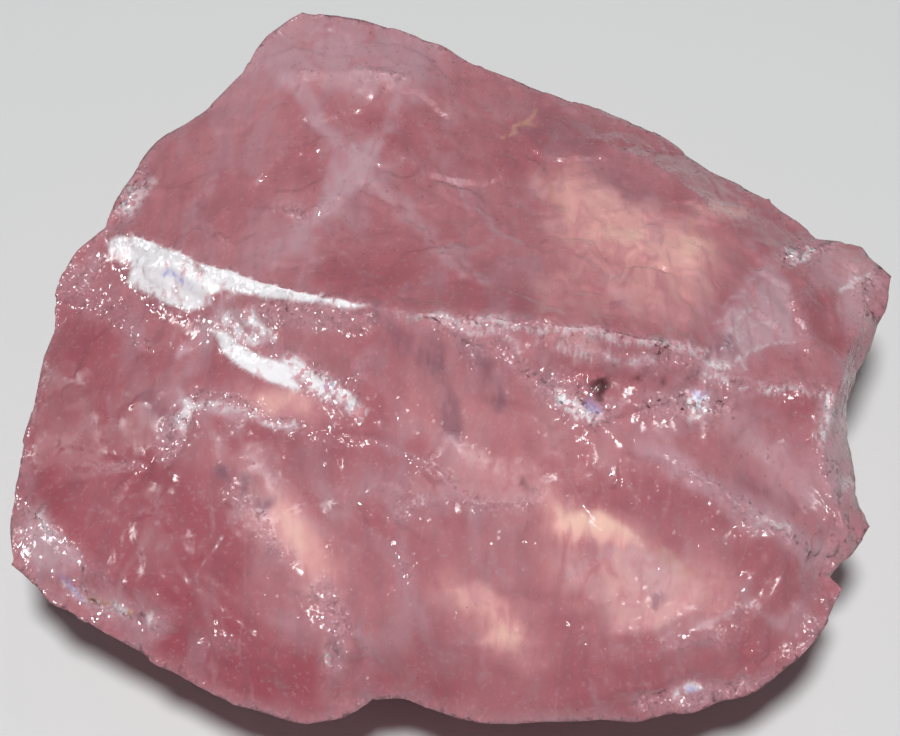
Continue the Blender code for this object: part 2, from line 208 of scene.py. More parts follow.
# Lights: name, direction from the stone, width, power, and whether they take part in shading and in glints.
LIGHTS = [
    ("key", (-0.03, -0.21, 0.975), 0.09, 3.15, True, False),
    ("side light", (-0.90, -0.06, 0.43), 0.10, 1.6, False, True),
    ("glint light", (0.10, 0.35, 0.93), 0.05, 0.9, False, True),
    ("right glint light", (0.62, -0.35, 0.70), 0.05, 0.5, False, True),
]

# Strokes on the stone: the points of each as photograph pixels, half its width in pixels, and its strength.
MILK_STROKES = [
    ([(735, 400), (770, 440), (800, 470)], 30, 0.3),
    ([(830, 265), (860, 290), (850, 310)], 20, 0.6),
    ([(228, 282), (224, 298), (213, 318), (198, 334), (180, 347)], 6, 0.9),
    ([(232, 312), (252, 325), (270, 340)], 5, 0.8),
    ([(222, 322), (240, 335), (262, 345)], 5, 0.8),
    ([(455, 180), (480, 215), (522, 245)], 3, 0.5),
    ([(820, 400), (835, 450), (838, 490)], 10, 0.5),
    ([(505, 137), (520, 124), (537, 113)], 2, 0.5),
    ([(725, 305), (745, 290), (760, 270)], 2, 0.6),
    ([(712, 320), (745, 318), (775, 300)], 2, 0.6),
    ([(560, 345), (600, 358), (655, 362)], 4, 0.5),
    ([(355, 492), (375, 480), (400, 486)], 2, 0.5),
    ([(350, 155), (325, 122), (300, 95), (280, 78)], 8, 0.6),
    ([(365, 160), (388, 122), (408, 92)], 8, 0.45),
    ([(360, 165), (330, 205), (300, 240), (275, 258)], 11, 0.5),
    ([(360, 165), (395, 200), (440, 250), (490, 282)], 9, 0.45),
    ([(345, 150), (375, 170)], 22, 0.35),
    ([(275, 40), (330, 50), (400, 60)], 40, 0.6),
    ([(245, 85), (230, 110)], 22, 0.35),
    ([(715, 368), (735, 330), (765, 285)], 20, 0.4),
    ([(715, 368), (760, 340), (795, 330)], 16, 0.4),
    ([(650, 440), (700, 475), (745, 505), (800, 545), (830, 565)], 16, 0.25),
    ([(205, 345), (185, 375), (150, 420)], 9, 0.35),
    ([(180, 392), (178, 412), (160, 432)], 5, 0.7),
    ([(184, 404), (222, 410), (255, 416), (290, 430)], 4, 0.8),
    ([(640, 560), (665, 580)], 18, 0.4),
    ([(701, 628), (730, 618), (754, 606)], 4, 0.6),
    ([(560, 572), (592, 562), (612, 552)], 3, 0.5),
    ([(100, 600), (150, 625)], 20, 0.4),
    ([(845, 400), (848, 480)], 10, 0.5),
    ([(680, 700), (745, 690)], 12, 0.35),
]
# Painted glow: warm light scattered inside the stone, painted into its colour.
PAINTED_GLOW_STROKES = [
    ([(550, 512), (595, 528), (640, 545)], 20, 0.4),
    ([(568, 190), (590, 215), (640, 238), (690, 250)], 34, 0.4),
    ([(575, 240), (640, 265), (700, 268)], 30, 0.3),
    ([(560, 292), (620, 294), (670, 302)], 26, 0.30),
    ([(838, 262), (860, 285), (858, 305)], 16, 0.35),
    ([(265, 505), (290, 530), (322, 575)], 26, 0.30),
    ([(250, 395), (310, 415)], 16, 0.25),
    ([(455, 590), (500, 620), (525, 642)], 28, 0.25),
    ([(570, 560), (640, 600), (700, 590)], 34, 0.35),
    ([(480, 470), (540, 492)], 22, 0.15),
    ([(560, 335), (590, 350)], 12, 0.35),
    ([(430, 400), (520, 430), (600, 470)], 34, 0.12),
]
# The yellow middles of the painted glows.
PAINTED_GLOW_CORE_STROKES = [
    ([(605, 228), (640, 236)], 6, 0.5),
    ([(660, 552), (690, 575)], 6, 0.4),
    ([(262, 398), (285, 402)], 6, 0.2),
]
# Smoky streaks in the quartz, and painted shade in the pit where the crest ends.
SMOKE_AND_SHADE_STROKES = [
    ([(430, 350), (445, 400), (455, 430)], 11, 0.85),
    ([(470, 350), (490, 385), (500, 400)], 11, 0.75),
    ([(375, 315), (400, 345)], 10, 0.7),
    ([(222, 476), (245, 490), (262, 506)], 12, 0.9),
    ([(545, 130), (600, 165), (635, 190)], 13, 0.45),
    # Painted shade in the pit at the crest's end.
    ([(718, 345), (728, 350)], 10, 0.6),
    ([(740, 480), (790, 505)], 10, 0.35),
    ([(150, 400), (165, 420)], 10, 0.5),
]
# Painted shade: deeper rose over faces that turn away from the light, and under ledges.
PAINTED_SHADE_STROKES = [
    ([(130, 470), (200, 540), (190, 610)], 50, 0.7),
    ([(60, 330), (50, 420), (40, 470)], 50, 0.7),
    ([(120, 350), (110, 420)], 40, 0.5),
    ([(200, 640), (300, 690), (420, 690)], 40, 0.5),
    ([(70, 500), (110, 545), (130, 590)], 40, 0.7),
    ([(160, 500), (200, 530), (220, 570)], 34, 0.6),
    ([(170, 620), (230, 650), (280, 680)], 40, 0.9),
    ([(480, 690), (600, 700), (760, 660)], 34, 0.3),
    ([(760, 560), (820, 600)], 30, 0.5),
    ([(230, 430), (330, 440)], 14, 0.6),
    ([(330, 275), (460, 300), (600, 320)], 18, 0.35),
    ([(820, 310), (850, 340)], 22, 0.5),
    ([(740, 390), (800, 410)], 16, 0.5),
    ([(560, 480), (700, 500)], 24, 0.35),
]
STAIN_STROKES = [
    ([(600, 380), (606, 386), (607, 400)], 4, 1.0),
    ([(638, 374), (644, 378)], 3, 0.8),
    ([(650, 383), (662, 381)], 3, 0.7),
    ([(645, 370), (655, 376)], 4, 0.4),
    ([(525, 480), (535, 495)], 4, 0.5),
    ([(335, 640), (355, 660)], 6, 0.35),
]
HACKLE_STROKES = [
    ([(126, 268), (150, 296), (205, 318)], 12, 0.35),
    ([(62, 285), (100, 290), (140, 325)], 22, 0.45),
    ([(215, 330), (260, 350), (340, 402)], 16, 0.5),
    ([(262, 312), (320, 314), (362, 322)], 15, 0.8),
    ([(300, 365), (350, 405)], 14, 0.7),
    ([(165, 450), (182, 415), (200, 398)], 12, 0.9),
    ([(200, 398), (245, 403), (290, 425)], 9, 0.8),
    ([(430, 324), (505, 320), (600, 333), (690, 347)], 8, 0.8),
    ([(470, 345), (505, 352), (530, 375)], 10, 0.7),
    ([(550, 385), (600, 415)], 17, 1.0),
    ([(650, 405), (690, 400), (720, 408)], 13, 1.0),
    ([(560, 345), (620, 360), (700, 360)], 10, 0.6),
    ([(712, 375), (760, 386), (838, 390)], 6, 0.4),
    ([(825, 395), (825, 450), (838, 500)], 9, 0.7),
    ([(845, 520), (835, 565)], 14, 0.7),
    ([(120, 180), (138, 175), (125, 215)], 12, 0.9),
    ([(65, 290), (95, 262)], 10, 0.7),
    ([(60, 300), (100, 312), (150, 345)], 8, 0.4),
    ([(785, 258), (825, 247)], 9, 1.0),
    ([(858, 285), (878, 278)], 10, 0.8),
    ([(95, 468), (140, 465)], 6, 0.6),
    ([(320, 590), (340, 630), (335, 665)], 15, 0.8),
    ([(390, 520), (430, 495)], 7, 0.6),
    ([(470, 515), (540, 492)], 5, 0.6),
    ([(372, 440), (420, 460), (450, 482)], 5, 0.5),
    ([(395, 545), (410, 580)], 10, 0.5),
    ([(75, 590), (100, 610), (160, 625)], 13, 0.8),
    ([(20, 500), (30, 540)], 9, 0.6),
    ([(640, 705), (700, 700), (745, 690)], 11, 0.8),
    ([(740, 505), (790, 535)], 8, 0.5),
    ([(280, 205), (300, 215)], 10, 0.5),
    ([(200, 225), (225, 245)], 8, 0.4),
    ([(470, 320), (505, 335)], 9, 0.5),
]
CALM_STROKES = [
    ([(425, 432), (455, 455), (485, 470), (530, 480)], 20, 0.5),
    ([(420, 485), (470, 492), (520, 495)], 14, 0.8),
    ([(60, 400), (70, 440), (90, 470)], 34, 1.0),
    ([(235, 455), (262, 470), (285, 515), (300, 540)], 22, 0.5),
    ([(330, 500), (345, 560)], 16, 0.6),
    ([(100, 505), (130, 540), (180, 540), (230, 530)], 40, 0.5),
    ([(150, 418), (128, 436)], 12, 0.8),
    ([(740, 430), (775, 455), (790, 485)], 22, 0.7),
    ([(285, 72), (345, 76), (400, 80), (442, 106)], 12, 0.9),
    ([(428, 178), (476, 185)], 8, 0.9),
    ([(640, 640), (690, 625), (730, 610)], 12, 0.5),
]
# Painted glints: white highlights along the crest, the ridges and the chips.
PAINTED_GLINT_STROKES = [
    ([(400, 316), (440, 321), (505, 324), (600, 335), (704, 349)], 5, 0.45),
    ([(560, 346), (600, 356), (655, 361)], 2, 0.4),
    ([(704, 377), (733, 383), (768, 391), (825, 394)], 3, 0.5),
    ([(470, 330), (500, 338), (515, 352)], 4, 0.4),
    ([(248, 314), (260, 325), (271, 339)], 6, 0.8),
    ([(220, 318), (236, 331), (254, 344)], 8, 0.7),
    ([(62, 588), (80, 598), (100, 606), (118, 612)], 5, 0.6),
    ([(722, 358), (745, 335), (775, 318)], 2, 0.3),
    ([(720, 350), (738, 322), (762, 300)], 2, 0.3),
    ([(728, 362), (760, 346), (795, 338)], 2, 0.35),
    ([(292, 372), (350, 408)], 9, 0.9),
    ([(560, 392), (595, 413)], 8, 0.7),
    ([(690, 395), (702, 410)], 8, 0.95),
    ([(130, 190), (124, 212)], 6, 0.5),
    ([(785, 256), (800, 262), (812, 252)], 4, 0.8),
    ([(842, 288), (866, 280)], 3, 0.6),
    ([(763, 389), (790, 389)], 3, 0.6),
    ([(827, 392), (824, 440)], 5, 0.5),
    ([(334, 655), (330, 665)], 3, 0.9),
    ([(40, 515), (50, 530)], 5, 0.5),
    ([(735, 330), (740, 372)], 2, 0.3),
    ([(680, 698), (700, 694)], 5, 0.7),
    ([(150, 617), (158, 619)], 3, 0.9),
    ([(182, 402), (176, 425)], 5, 0.6),
    ([(184, 404), (215, 404), (245, 408), (272, 422)], 4, 0.5),
    ([(270, 420), (290, 428)], 4, 0.6),
]
VIOLET_STROKES = [
    ([(162, 273), (175, 281), (188, 287)], 2, 0.9),
    ([(60, 580), (72, 592), (84, 600)], 3, 0.5),
    ([(690, 696), (700, 699)], 2, 0.7),
    ([(592, 398), (600, 410)], 5, 0.5),
    ([(694, 390), (702, 396)], 4, 0.4),
    ([(318, 384), (332, 386)], 2, 0.5),
]
AMBER_STROKES = [
    ([(505, 137), (520, 124), (537, 113)], 2, 0.6),
    ([(94, 596), (104, 604)], 3, 0.5),
    ([(122, 611), (128, 614)], 2, 0.7),
    ([(556, 180), (560, 205)], 2, 0.3),
    ([(690, 222), (692, 246)], 2, 0.3),
]

# Veils and painted glows with an edge: outline as photograph pixels, and strength.
MILK_FACES = [
    (
        [
            (335, 145), (362, 138), (382, 143), (378, 165), (360, 186), (325, 216), (308, 228), (320, 200),
        ],
        0.45,
    ),
    ([(757, 262), (778, 262), (790, 290), (805, 326), (760, 348), (712, 362), (722, 332), (738, 298)], 0.8),
    (
        [
            (548, 550), (575, 542), (600, 549), (640, 546), (668, 562), (702, 582), (704, 598), (688, 616),
            (645, 640), (622, 630), (602, 602), (562, 586),
        ],
        0.2,
    ),
    ([(625, 436), (680, 452), (735, 486), (790, 520), (834, 556), (828, 572), (770, 538), (700, 500)], 0.4),
    ([(762, 614), (800, 608), (808, 620), (790, 632), (768, 628)], 0.45),
    ([(18, 508), (48, 512), (66, 540), (82, 572), (60, 578), (24, 552)], 0.85),
    ([(205, 308), (226, 312), (218, 328), (206, 342), (184, 352), (178, 344), (198, 330)], 0.7),
]
# Painted glows with an edge.
PAINTED_GLOW_FACES = [
    ([(560, 172), (592, 182), (650, 216), (714, 240), (712, 262), (688, 274), (612, 246), (566, 214)], 0.4),
    ([(552, 512), (600, 516), (624, 530), (648, 544), (618, 548), (590, 540), (560, 530)], 0.7),
    ([(452, 585), (472, 586), (500, 603), (526, 622), (518, 646), (478, 643), (494, 624), (456, 600)], 0.5),
    ([(262, 500), (288, 506), (308, 528), (334, 580), (318, 582), (298, 558), (268, 530)], 0.35),
    ([(249, 392), (285, 390), (310, 398), (304, 414), (262, 410)], 0.45),
    ([(690, 200), (748, 206), (740, 224), (700, 220)], 0.45),
    ([(470, 640), (528, 624), (520, 648)], 0.3),
    ([(560, 560), (598, 566), (580, 592), (570, 580)], 0.3),
    ([(600, 552), (640, 548), (700, 584), (700, 600), (645, 638), (622, 628), (606, 600)], 0.4),
    ([(640, 560), (668, 566), (690, 584), (672, 590), (650, 580)], 0.3),
]
# Yellow middles of the painted glows.
PAINTED_GLOW_CORE_FACES = [
    ([(556, 511), (598, 518), (626, 532), (640, 543), (604, 536), (566, 522)], 0.8),
    ([(680, 238), (706, 240), (704, 258), (684, 262)], 0.45),
    ([(280, 514), (296, 522), (304, 548), (292, 546)], 0.5),
    ([(502, 622), (522, 630), (516, 642), (500, 640)], 0.5),
]
# Smoky patches, and painted shade in the pit at the crest's end.
SMOKE_AND_SHADE_FACES = [
    ([(650, 588), (664, 586), (668, 598), (656, 606), (648, 600)], 0.6),
    # Painted shade in the pit at the crest's end.
    ([(710, 342), (730, 338), (724, 356), (704, 364)], 0.95),
    ([(745, 470), (772, 486), (770, 498), (748, 484)], 0.4),
]
STAIN_FACES = [
    ([(592, 380), (604, 376), (610, 384), (604, 400), (598, 392)], 0.9),
]
# Painted glitter: patches of white highlight on the flakes that face the light.
PAINTED_GLITTER_FACES = [
    ([(296, 374), (322, 372), (340, 384), (352, 402), (344, 411), (318, 402)], 0.85),
    ([(549, 384), (566, 388), (600, 410), (603, 424), (588, 424), (556, 400)], 0.75),
    ([(682, 392), (696, 388), (708, 394), (709, 410), (698, 416), (688, 402)], 1.0),
    ([(704, 361), (724, 360), (728, 368), (708, 370)], 0.7),
    ([(821, 389), (836, 390), (832, 420), (824, 438)], 0.5),
    ([(842, 471), (856, 474), (852, 492), (840, 488)], 0.5),
    ([(751, 504), (790, 526), (792, 538), (760, 520)], 0.4),
    ([(111, 214), (124, 180), (150, 176), (132, 222)], 0.35),
    ([(178, 400), (190, 396), (184, 426), (174, 426)], 0.4),
]

# Each kind of mark with its strokes and its outlines, and the kinds whose outlines fade slowly.
SOFT_MARKS = ("milk", "glow", "core")
MARKS = {
    "violet": (VIOLET_STROKES, []),
    "amber": (AMBER_STROKES, []),
    "milk": (MILK_STROKES, MILK_FACES),
    "glow": (PAINTED_GLOW_STROKES, PAINTED_GLOW_FACES),
    "core": (PAINTED_GLOW_CORE_STROKES, PAINTED_GLOW_CORE_FACES),
    "smoke_and_shade": (SMOKE_AND_SHADE_STROKES, SMOKE_AND_SHADE_FACES),
    "painted_shade": (PAINTED_SHADE_STROKES, []),
    "calm": (CALM_STROKES, []),
    "stain": (STAIN_STROKES, STAIN_FACES),
    "bright": (PAINTED_GLINT_STROKES, PAINTED_GLITTER_FACES),
}

# Outlines of the two mirror-bright lobes under the crest, as photograph pixels. Their white is painted
# glare.
BRIGHT_FACES = [
    [
        (108, 240), (117, 236), (149, 236), (167, 248), (205, 261), (234, 270), (262, 280), (320, 291),
        (352, 299), (366, 306), (350, 308), (320, 303), (262, 297), (240, 292), (222, 289), (212, 296),
        (212, 305), (190, 310), (168, 304), (147, 293), (126, 282), (131, 267), (116, 262), (109, 252),
    ],
    [
        (211, 329), (226, 332), (238, 344), (258, 356), (280, 362), (294, 367), (293, 378), (301, 390),
        (286, 387), (262, 378), (240, 366), (222, 352),
    ],
]

# Small steps where one flake broke off over another: a line as photograph pixels, how far its lower side
# stands out (plus) or back (minus) in mm, and how many pixels the step takes to fade away.
LEDGES = [
    ([(110, 250), (130, 264), (150, 258)], 0.25, 8),
    ([(129, 241), (136, 262), (152, 278)], -0.25, 8),
    ([(162, 262), (196, 280), (214, 294)], 0.25, 8),
    ([(212, 330), (245, 345), (285, 374)], 0.22, 8),
    ([(375, 312), (440, 322), (505, 325), (560, 334), (640, 345), (700, 352)], -0.20, 16),
    ([(540, 345), (600, 352), (645, 364), (690, 362)], 0.30, 14),
    ([(430, 325), (470, 345), (505, 352), (530, 375), (560, 402), (600, 424)], -0.45, 22),
    ([(600, 424), (640, 408), (690, 402), (730, 408)], -0.45, 18),
    ([(704, 376), (733, 382), (768, 390), (830, 393)], -0.32, 26),
    ([(640, 452), (719, 494), (775, 530), (830, 562)], -0.40, 24),
    ([(176, 428), (184, 398), (215, 392), (250, 402), (290, 424), (345, 432)], -0.45, 20),
    ([(120, 492), (152, 450), (176, 428)], -0.30, 18),
    ([(58, 300), (100, 313), (150, 346), (200, 338)], -0.35, 22),
    ([(94, 468), (135, 466), (160, 478)], 0.25, 14),
    ([(343, 500), (372, 482), (410, 486)], 0.25, 12),
    ([(396, 520), (420, 545), (395, 590), (372, 600)], -0.25, 16),
    ([(372, 440), (412, 458), (450, 482), (500, 490), (530, 482)], -0.15, 18),
    ([(300, 595), (345, 612), (378, 660)], -0.40, 18),
    ([(30, 512), (62, 540), (84, 580)], -0.35, 20),
    ([(60, 588), (110, 612), (165, 632), (215, 640)], -0.30, 16),
    ([(640, 690), (690, 682), (745, 684)], -0.35, 14),
    ([(806, 284), (815, 268), (828, 248)], 0.40, 16),
    ([(757, 264), (786, 290), (806, 328)], -0.30, 20),
    ([(712, 366), (735, 305), (757, 264)], 0.25, 18),
    ([(112, 218), (135, 200), (152, 176)], -0.30, 14),
    ([(190, 190), (205, 215), (228, 235), (246, 232)], 0.20, 12),
    ([(262, 205), (290, 216), (320, 204)], 0.20, 10),
    ([(440, 166), (480, 215), (524, 246)], 0.18, 14),
    ([(366, 190), (402, 214), (440, 250), (490, 281)], 0.18, 14),
    ([(823, 392), (822, 440), (850, 492)], 0.30, 14),
    ([(560, 620), (620, 632), (690, 612), (740, 610)], 0.20, 16),
]

# Waves that a break leaves: middle in photograph pixels, spacing, depth, and the line along which they show
# with half its width in pixels.
RIPPLES = [
    ((330, 470), 1.7 * MM, 0.050 * MM, [(180, 600), (260, 660), (330, 690)], 70),
    ((60, 300), 1.5 * MM, 0.012 * MM, [(80, 380), (90, 430)], 50),
    ((560, 420), 2.6 * MM, 0.060 * MM, [(480, 620), (620, 660), (760, 620)], 80),
    ((300, 260), 3.4 * MM, 0.060 * MM, [(420, 160), (560, 220), (640, 280)], 110),
    ((880, 180), 2.2 * MM, 0.045 * MM, [(730, 320), (770, 300)], 40),
]


def smooth(value, low, high):
    """0 below low, 1 above high, and a soft step between."""
    step = np.clip((value - low) / (high - low), 0, 1)
    return step * step * (3 - 2 * step)


def view_axes():
    """The camera's forward, right and up directions."""
    forward = Vector((0, math.cos(CAMERA_ELEVATION), -math.sin(CAMERA_ELEVATION)))
    right = Vector((1, 0, 0))
    return forward, right, right.cross(forward)


def photo_places(points):
    """Where points of the stone lie in the photograph, in pixels."""
    forward, right, up = (np.array(axis) for axis in view_axes())
    from_camera = points - np.array(CAMERA_TARGET) + forward * CAMERA_DISTANCE
    depth = from_camera @ forward
    across = PHOTO_WIDTH / 2 + FOCAL_PX * (from_camera @ right) / depth
    down = PHOTO_HEIGHT / 2 - FOCAL_PX * (from_camera @ up) / depth
    return np.column_stack([across, down])


def distance_to_line(places, line):
    """Distance of each place from a line through some points."""
    nearest = np.full(len(places), np.inf)
    for start, end in zip(np.array(line[:-1], float), np.array(line[1:], float)):
        along = end - start
        share = np.clip((places - start) @ along / (along @ along), 0, 1)
        nearest = np.minimum(nearest, np.hypot(*(places - start - share[:, None] * along).T))
    return nearest


def painted(places, strokes):
    """How strongly the strokes mark each place, from 0 to 1."""
    left = np.ones(len(places))
    for line, half_width, strength in strokes:
        distance = distance_to_line(places, line)
        left *= 1 - strength * (1 - smooth(distance, half_width * STROKE_CORE, half_width * STROKE_REACH))
    return 1 - left


def inside(places, outline, softness=EDGE_SOFTNESS_PX):
    """How surely each place lies inside an outline, from 0 to 1 with a soft edge."""
    crossed = np.zeros(len(places), bool)
    corners = np.array(outline, float)
    for (x0, y0), (x1, y1) in zip(corners, np.roll(corners, -1, axis=0)):
        if y0 == y1:
            continue
        between = (places[:, 1] < y0) != (places[:, 1] < y1)
        crossed ^= between & (places[:, 0] > x0 + (places[:, 1] - y0) / (y1 - y0) * (x1 - x0))
    edge = distance_to_line(places, outline + outline[:1])
    return smooth(np.where(crossed, edge, -edge), -softness, softness)


def welded(node):
    """A closed bmesh of a CAD node, with its sharp edges creased and its ridges marked."""
    shape = bmesh.new()
    shape.from_mesh(node.data)
    bmesh.ops.remove_doubles(shape, verts=shape.verts, dist=WELD)
    creases = shape.edges.layers.float.new("crease_edge")
    ridges = shape.verts.layers.float.new("ridge")
    for edge in shape.edges:
        bend = edge.calc_face_angle_signed(0.0)
        edge[creases] = float(smooth(abs(bend), CREASE_START, CREASE_FULL))
        for corner in edge.verts:
            corner[ridges] = max(corner[ridges], float(smooth(bend, RIDGE_START, RIDGE_FULL)))
    return shape


def subdivided(node):
    """A dense mesh over a CAD node, round on its broken faces and sharp on its ridges."""
    shape = welded(node)
    mesh = bpy.data.meshes.new("stone skin")
    shape.to_mesh(mesh)
    shape.free()
    stone = bpy.data.objects.new("stone", mesh)
    bpy.context.scene.collection.objects.link(stone)
    fine = stone.modifiers.new("fine", "SUBSURF")
    fine.levels = SUBDIVISIONS
    fine.render_levels = SUBDIVISIONS
    graph = bpy.context.evaluated_depsgraph_get()
    stone.data = bpy.data.meshes.new_from_object(stone.evaluated_get(graph))
    stone.modifiers.clear()
    return stone


def numbers(mesh, attribute, count):
    """An attribute of the mesh's points as an array."""
    values = np.zeros(len(mesh.vertices) * count)
    mesh.vertices.foreach_get(attribute, values)
    return values.reshape(-1, count)


def store(mesh, name, values):
    """Keeps a number for each point of the mesh, for the material to read."""
    attribute = mesh.attributes.new(name, "FLOAT", "POINT")
    attribute.data.foreach_set("value", values.astype(np.float32))


def facet_offsets(points, size, seed):
    """Height of small flat chips, each tilted its own way, as shares of their size."""
    offsets = np.zeros(len(points))
    shift = Vector((seed, 2 * seed, 3 * seed))
    middle = Vector((0.5, 0.5, 0.5))
    for number, point in enumerate(points):
        place = Vector(point) / size + shift
        place += noise.noise_vector(place * CHIP_WANDER_SCALE) * CHIP_WANDER
        centre = noise.voronoi(place)[1][0]
        tilt = noise.cell_vector(centre * CHIP_TILT_KEY) - middle
        step = noise.cell(centre * CHIP_STEP_KEY) - 0.5
        offsets[number] = (place - centre).dot(tilt) + CHIP_STEP * step
    return offsets


def fractal(points, size, seed):
    """Smooth noise of about the given size, from -1 to 1."""
    shift = Vector((seed, seed, seed))
    settings = (FRACTAL_FALLOFF, FRACTAL_SCALING, FRACTAL_OCTAVES)
    return np.array([noise.fractal(Vector(point) / size + shift, *settings) for point in points])


def layered(kind, points, layers):
    """Several layers of one kind of unevenness, added up."""
    return sum(kind(points, size, seed) * height for size, seed, height in layers)


def rippled(points, places):
    """Depth of the waves that the breaks left on the smooth faces."""
    depth = np.zeros(len(points))
    wander = layered(fractal, points, RIPPLE_WANDER)
    for middle, spacing, height, line, half_width in RIPPLES:
        distance = np.hypot(*(places - np.array(middle)).T) * CAMERA_DISTANCE / FOCAL_PX + wander
        shown = 1 - smooth(distance_to_line(places, line), half_width * RIPPLE_CORE, half_width)
        depth += height * shown * np.sin(2 * math.pi * distance / spacing)
    return depth


def wandering(points, places):
    """The photograph places moved a little, so that the edges of the marks wander as veils in quartz do."""
    spots = [Vector(point) / MARK_WANDER_SIZE for point in points]
    coarse = np.array([noise.noise_vector(spot) for spot in spots])
    fine = np.array([noise.noise_vector(spot * FINE_WANDER_SCALE) for spot in spots])
    return places + MARK_WANDER_PX * (coarse + FINE_WANDER_SHARE * fine)[:, :2]


def ledges(places):
    """How far the small steps move each place, in metres."""
    moved = np.zeros(len(places))
    for line, height, fade in LEDGES:
        nearest = np.full(len(places), np.inf)
        below = np.zeros(len(places), bool)
        for start, end in zip(np.array(line[:-1], float), np.array(line[1:], float)):
            along = end - start
            away = places - start
            share = np.clip(away @ along / (along @ along), 0, 1)
            distance = np.hypot(*(away - share[:, None] * along).T)
            side = along[0] * away[:, 1] - along[1] * away[:, 0] > 0
            below = np.where(distance < nearest, side, below)
            nearest = np.minimum(nearest, distance)
        moved += height * MM * below * np.exp(-nearest / fade)
    return moved


def facing_shares(normals):
    """How surely each point faces the photograph's camera and looks up, from 0 to 1."""
    toward_camera = smooth(-(normals @ np.array(view_axes()[0])), 0.0, FACING_FULL)
    return toward_camera * smooth(normals[:, 2], UPWARD_START, UPWARD_FULL)


def mirror_shares(places):
    """How surely each place lies in one of the mirror-bright lobes, from 0 to 1."""
    return np.max([inside(places, outline) for outline in BRIGHT_FACES], axis=0)


def hackle_shares(points, places, facing):
    """How rough the break is: by its strokes where the photograph shows it, and in patches elsewhere."""
    hackle = painted(places, HACKLE_STROKES) * facing
    patches = smooth(fractal(points, PATCH_SIZE, PATCH_SEED), PATCH_START, PATCH_FULL)
    hackle = np.maximum(hackle, patches * PATCH_STRENGTH * (1 - facing))
    return hackle * (1 - MIRROR_CALM * mirror_shares(places))


def skin_heights(points, places, hackle, facing):
    """How far the broken surface stands out from the CAD solid, in metres."""
    chips = layered(facet_offsets, points, CHIPS) * hackle
    breaks = layered(facet_offsets, points, BREAKS)
    swell = layered(fractal, points, SWELLS)
    steps = ledges(wandering(points, places)) + rippled(points, places)
    off_foot = smooth(points[:, 2], 0.0, FOOT_FADE)
    return (chips + breaks + swell + steps * facing) * off_foot


def store_marks(mesh, places, facing):
    """Stores how strongly each kind of mark shows at each point."""
    for name, (strokes, faces) in MARKS.items():
        softness = VEIL_SOFTNESS_PX if name in SOFT_MARKS else EDGE_SOFTNESS_PX
        left = 1 - painted(places, strokes)
        for outline, strength in faces:
            left *= 1 - strength * inside(places, outline, softness)
        store(mesh, name, (1 - left) * facing)


def broken_skin(stone, cad_box):
    """Moves the dense mesh's points as the stone is broken, and stores its marks."""
    mesh = stone.data
    points = numbers(mesh, "co", 3)
    normals = numbers(mesh, "normal", 3)
    places = photo_places(points)
    facing = facing_shares(normals)
    ridge = np.zeros(len(points))
    mesh.attributes["ridge"].data.foreach_get("value", ridge)
    hackle = hackle_shares(points, places, facing)
    points = points + normals * skin_heights(points, places, hackle, facing)[:, None]
    low, high = (np.array(corner) for corner in cad_box)
    mesh.vertices.foreach_set("co", np.clip(points, low, high).ravel())
    mesh.update()
    under_crest = facing * smooth(-normals[:, 1], 0.0, MIRROR_TURN)
    store(mesh, "hackle", np.maximum(hackle, RIDGE_HACKLE * ridge))
    store(mesh, "mirror", mirror_shares(places) * under_crest)
    # Walls: points that do not face the camera and look up, later given painted shade.
    store(mesh, "wall", 1 - facing)
    store_marks(mesh, wandering(points, places), facing)


# The Mix node has sockets for numbers, arrows and colours. These are the share and the colours.
MIX_SHARE_INPUT = 0
MIX_COLOUR_INPUTS = slice(6, 8)
MIX_COLOUR_OUTPUT = 2


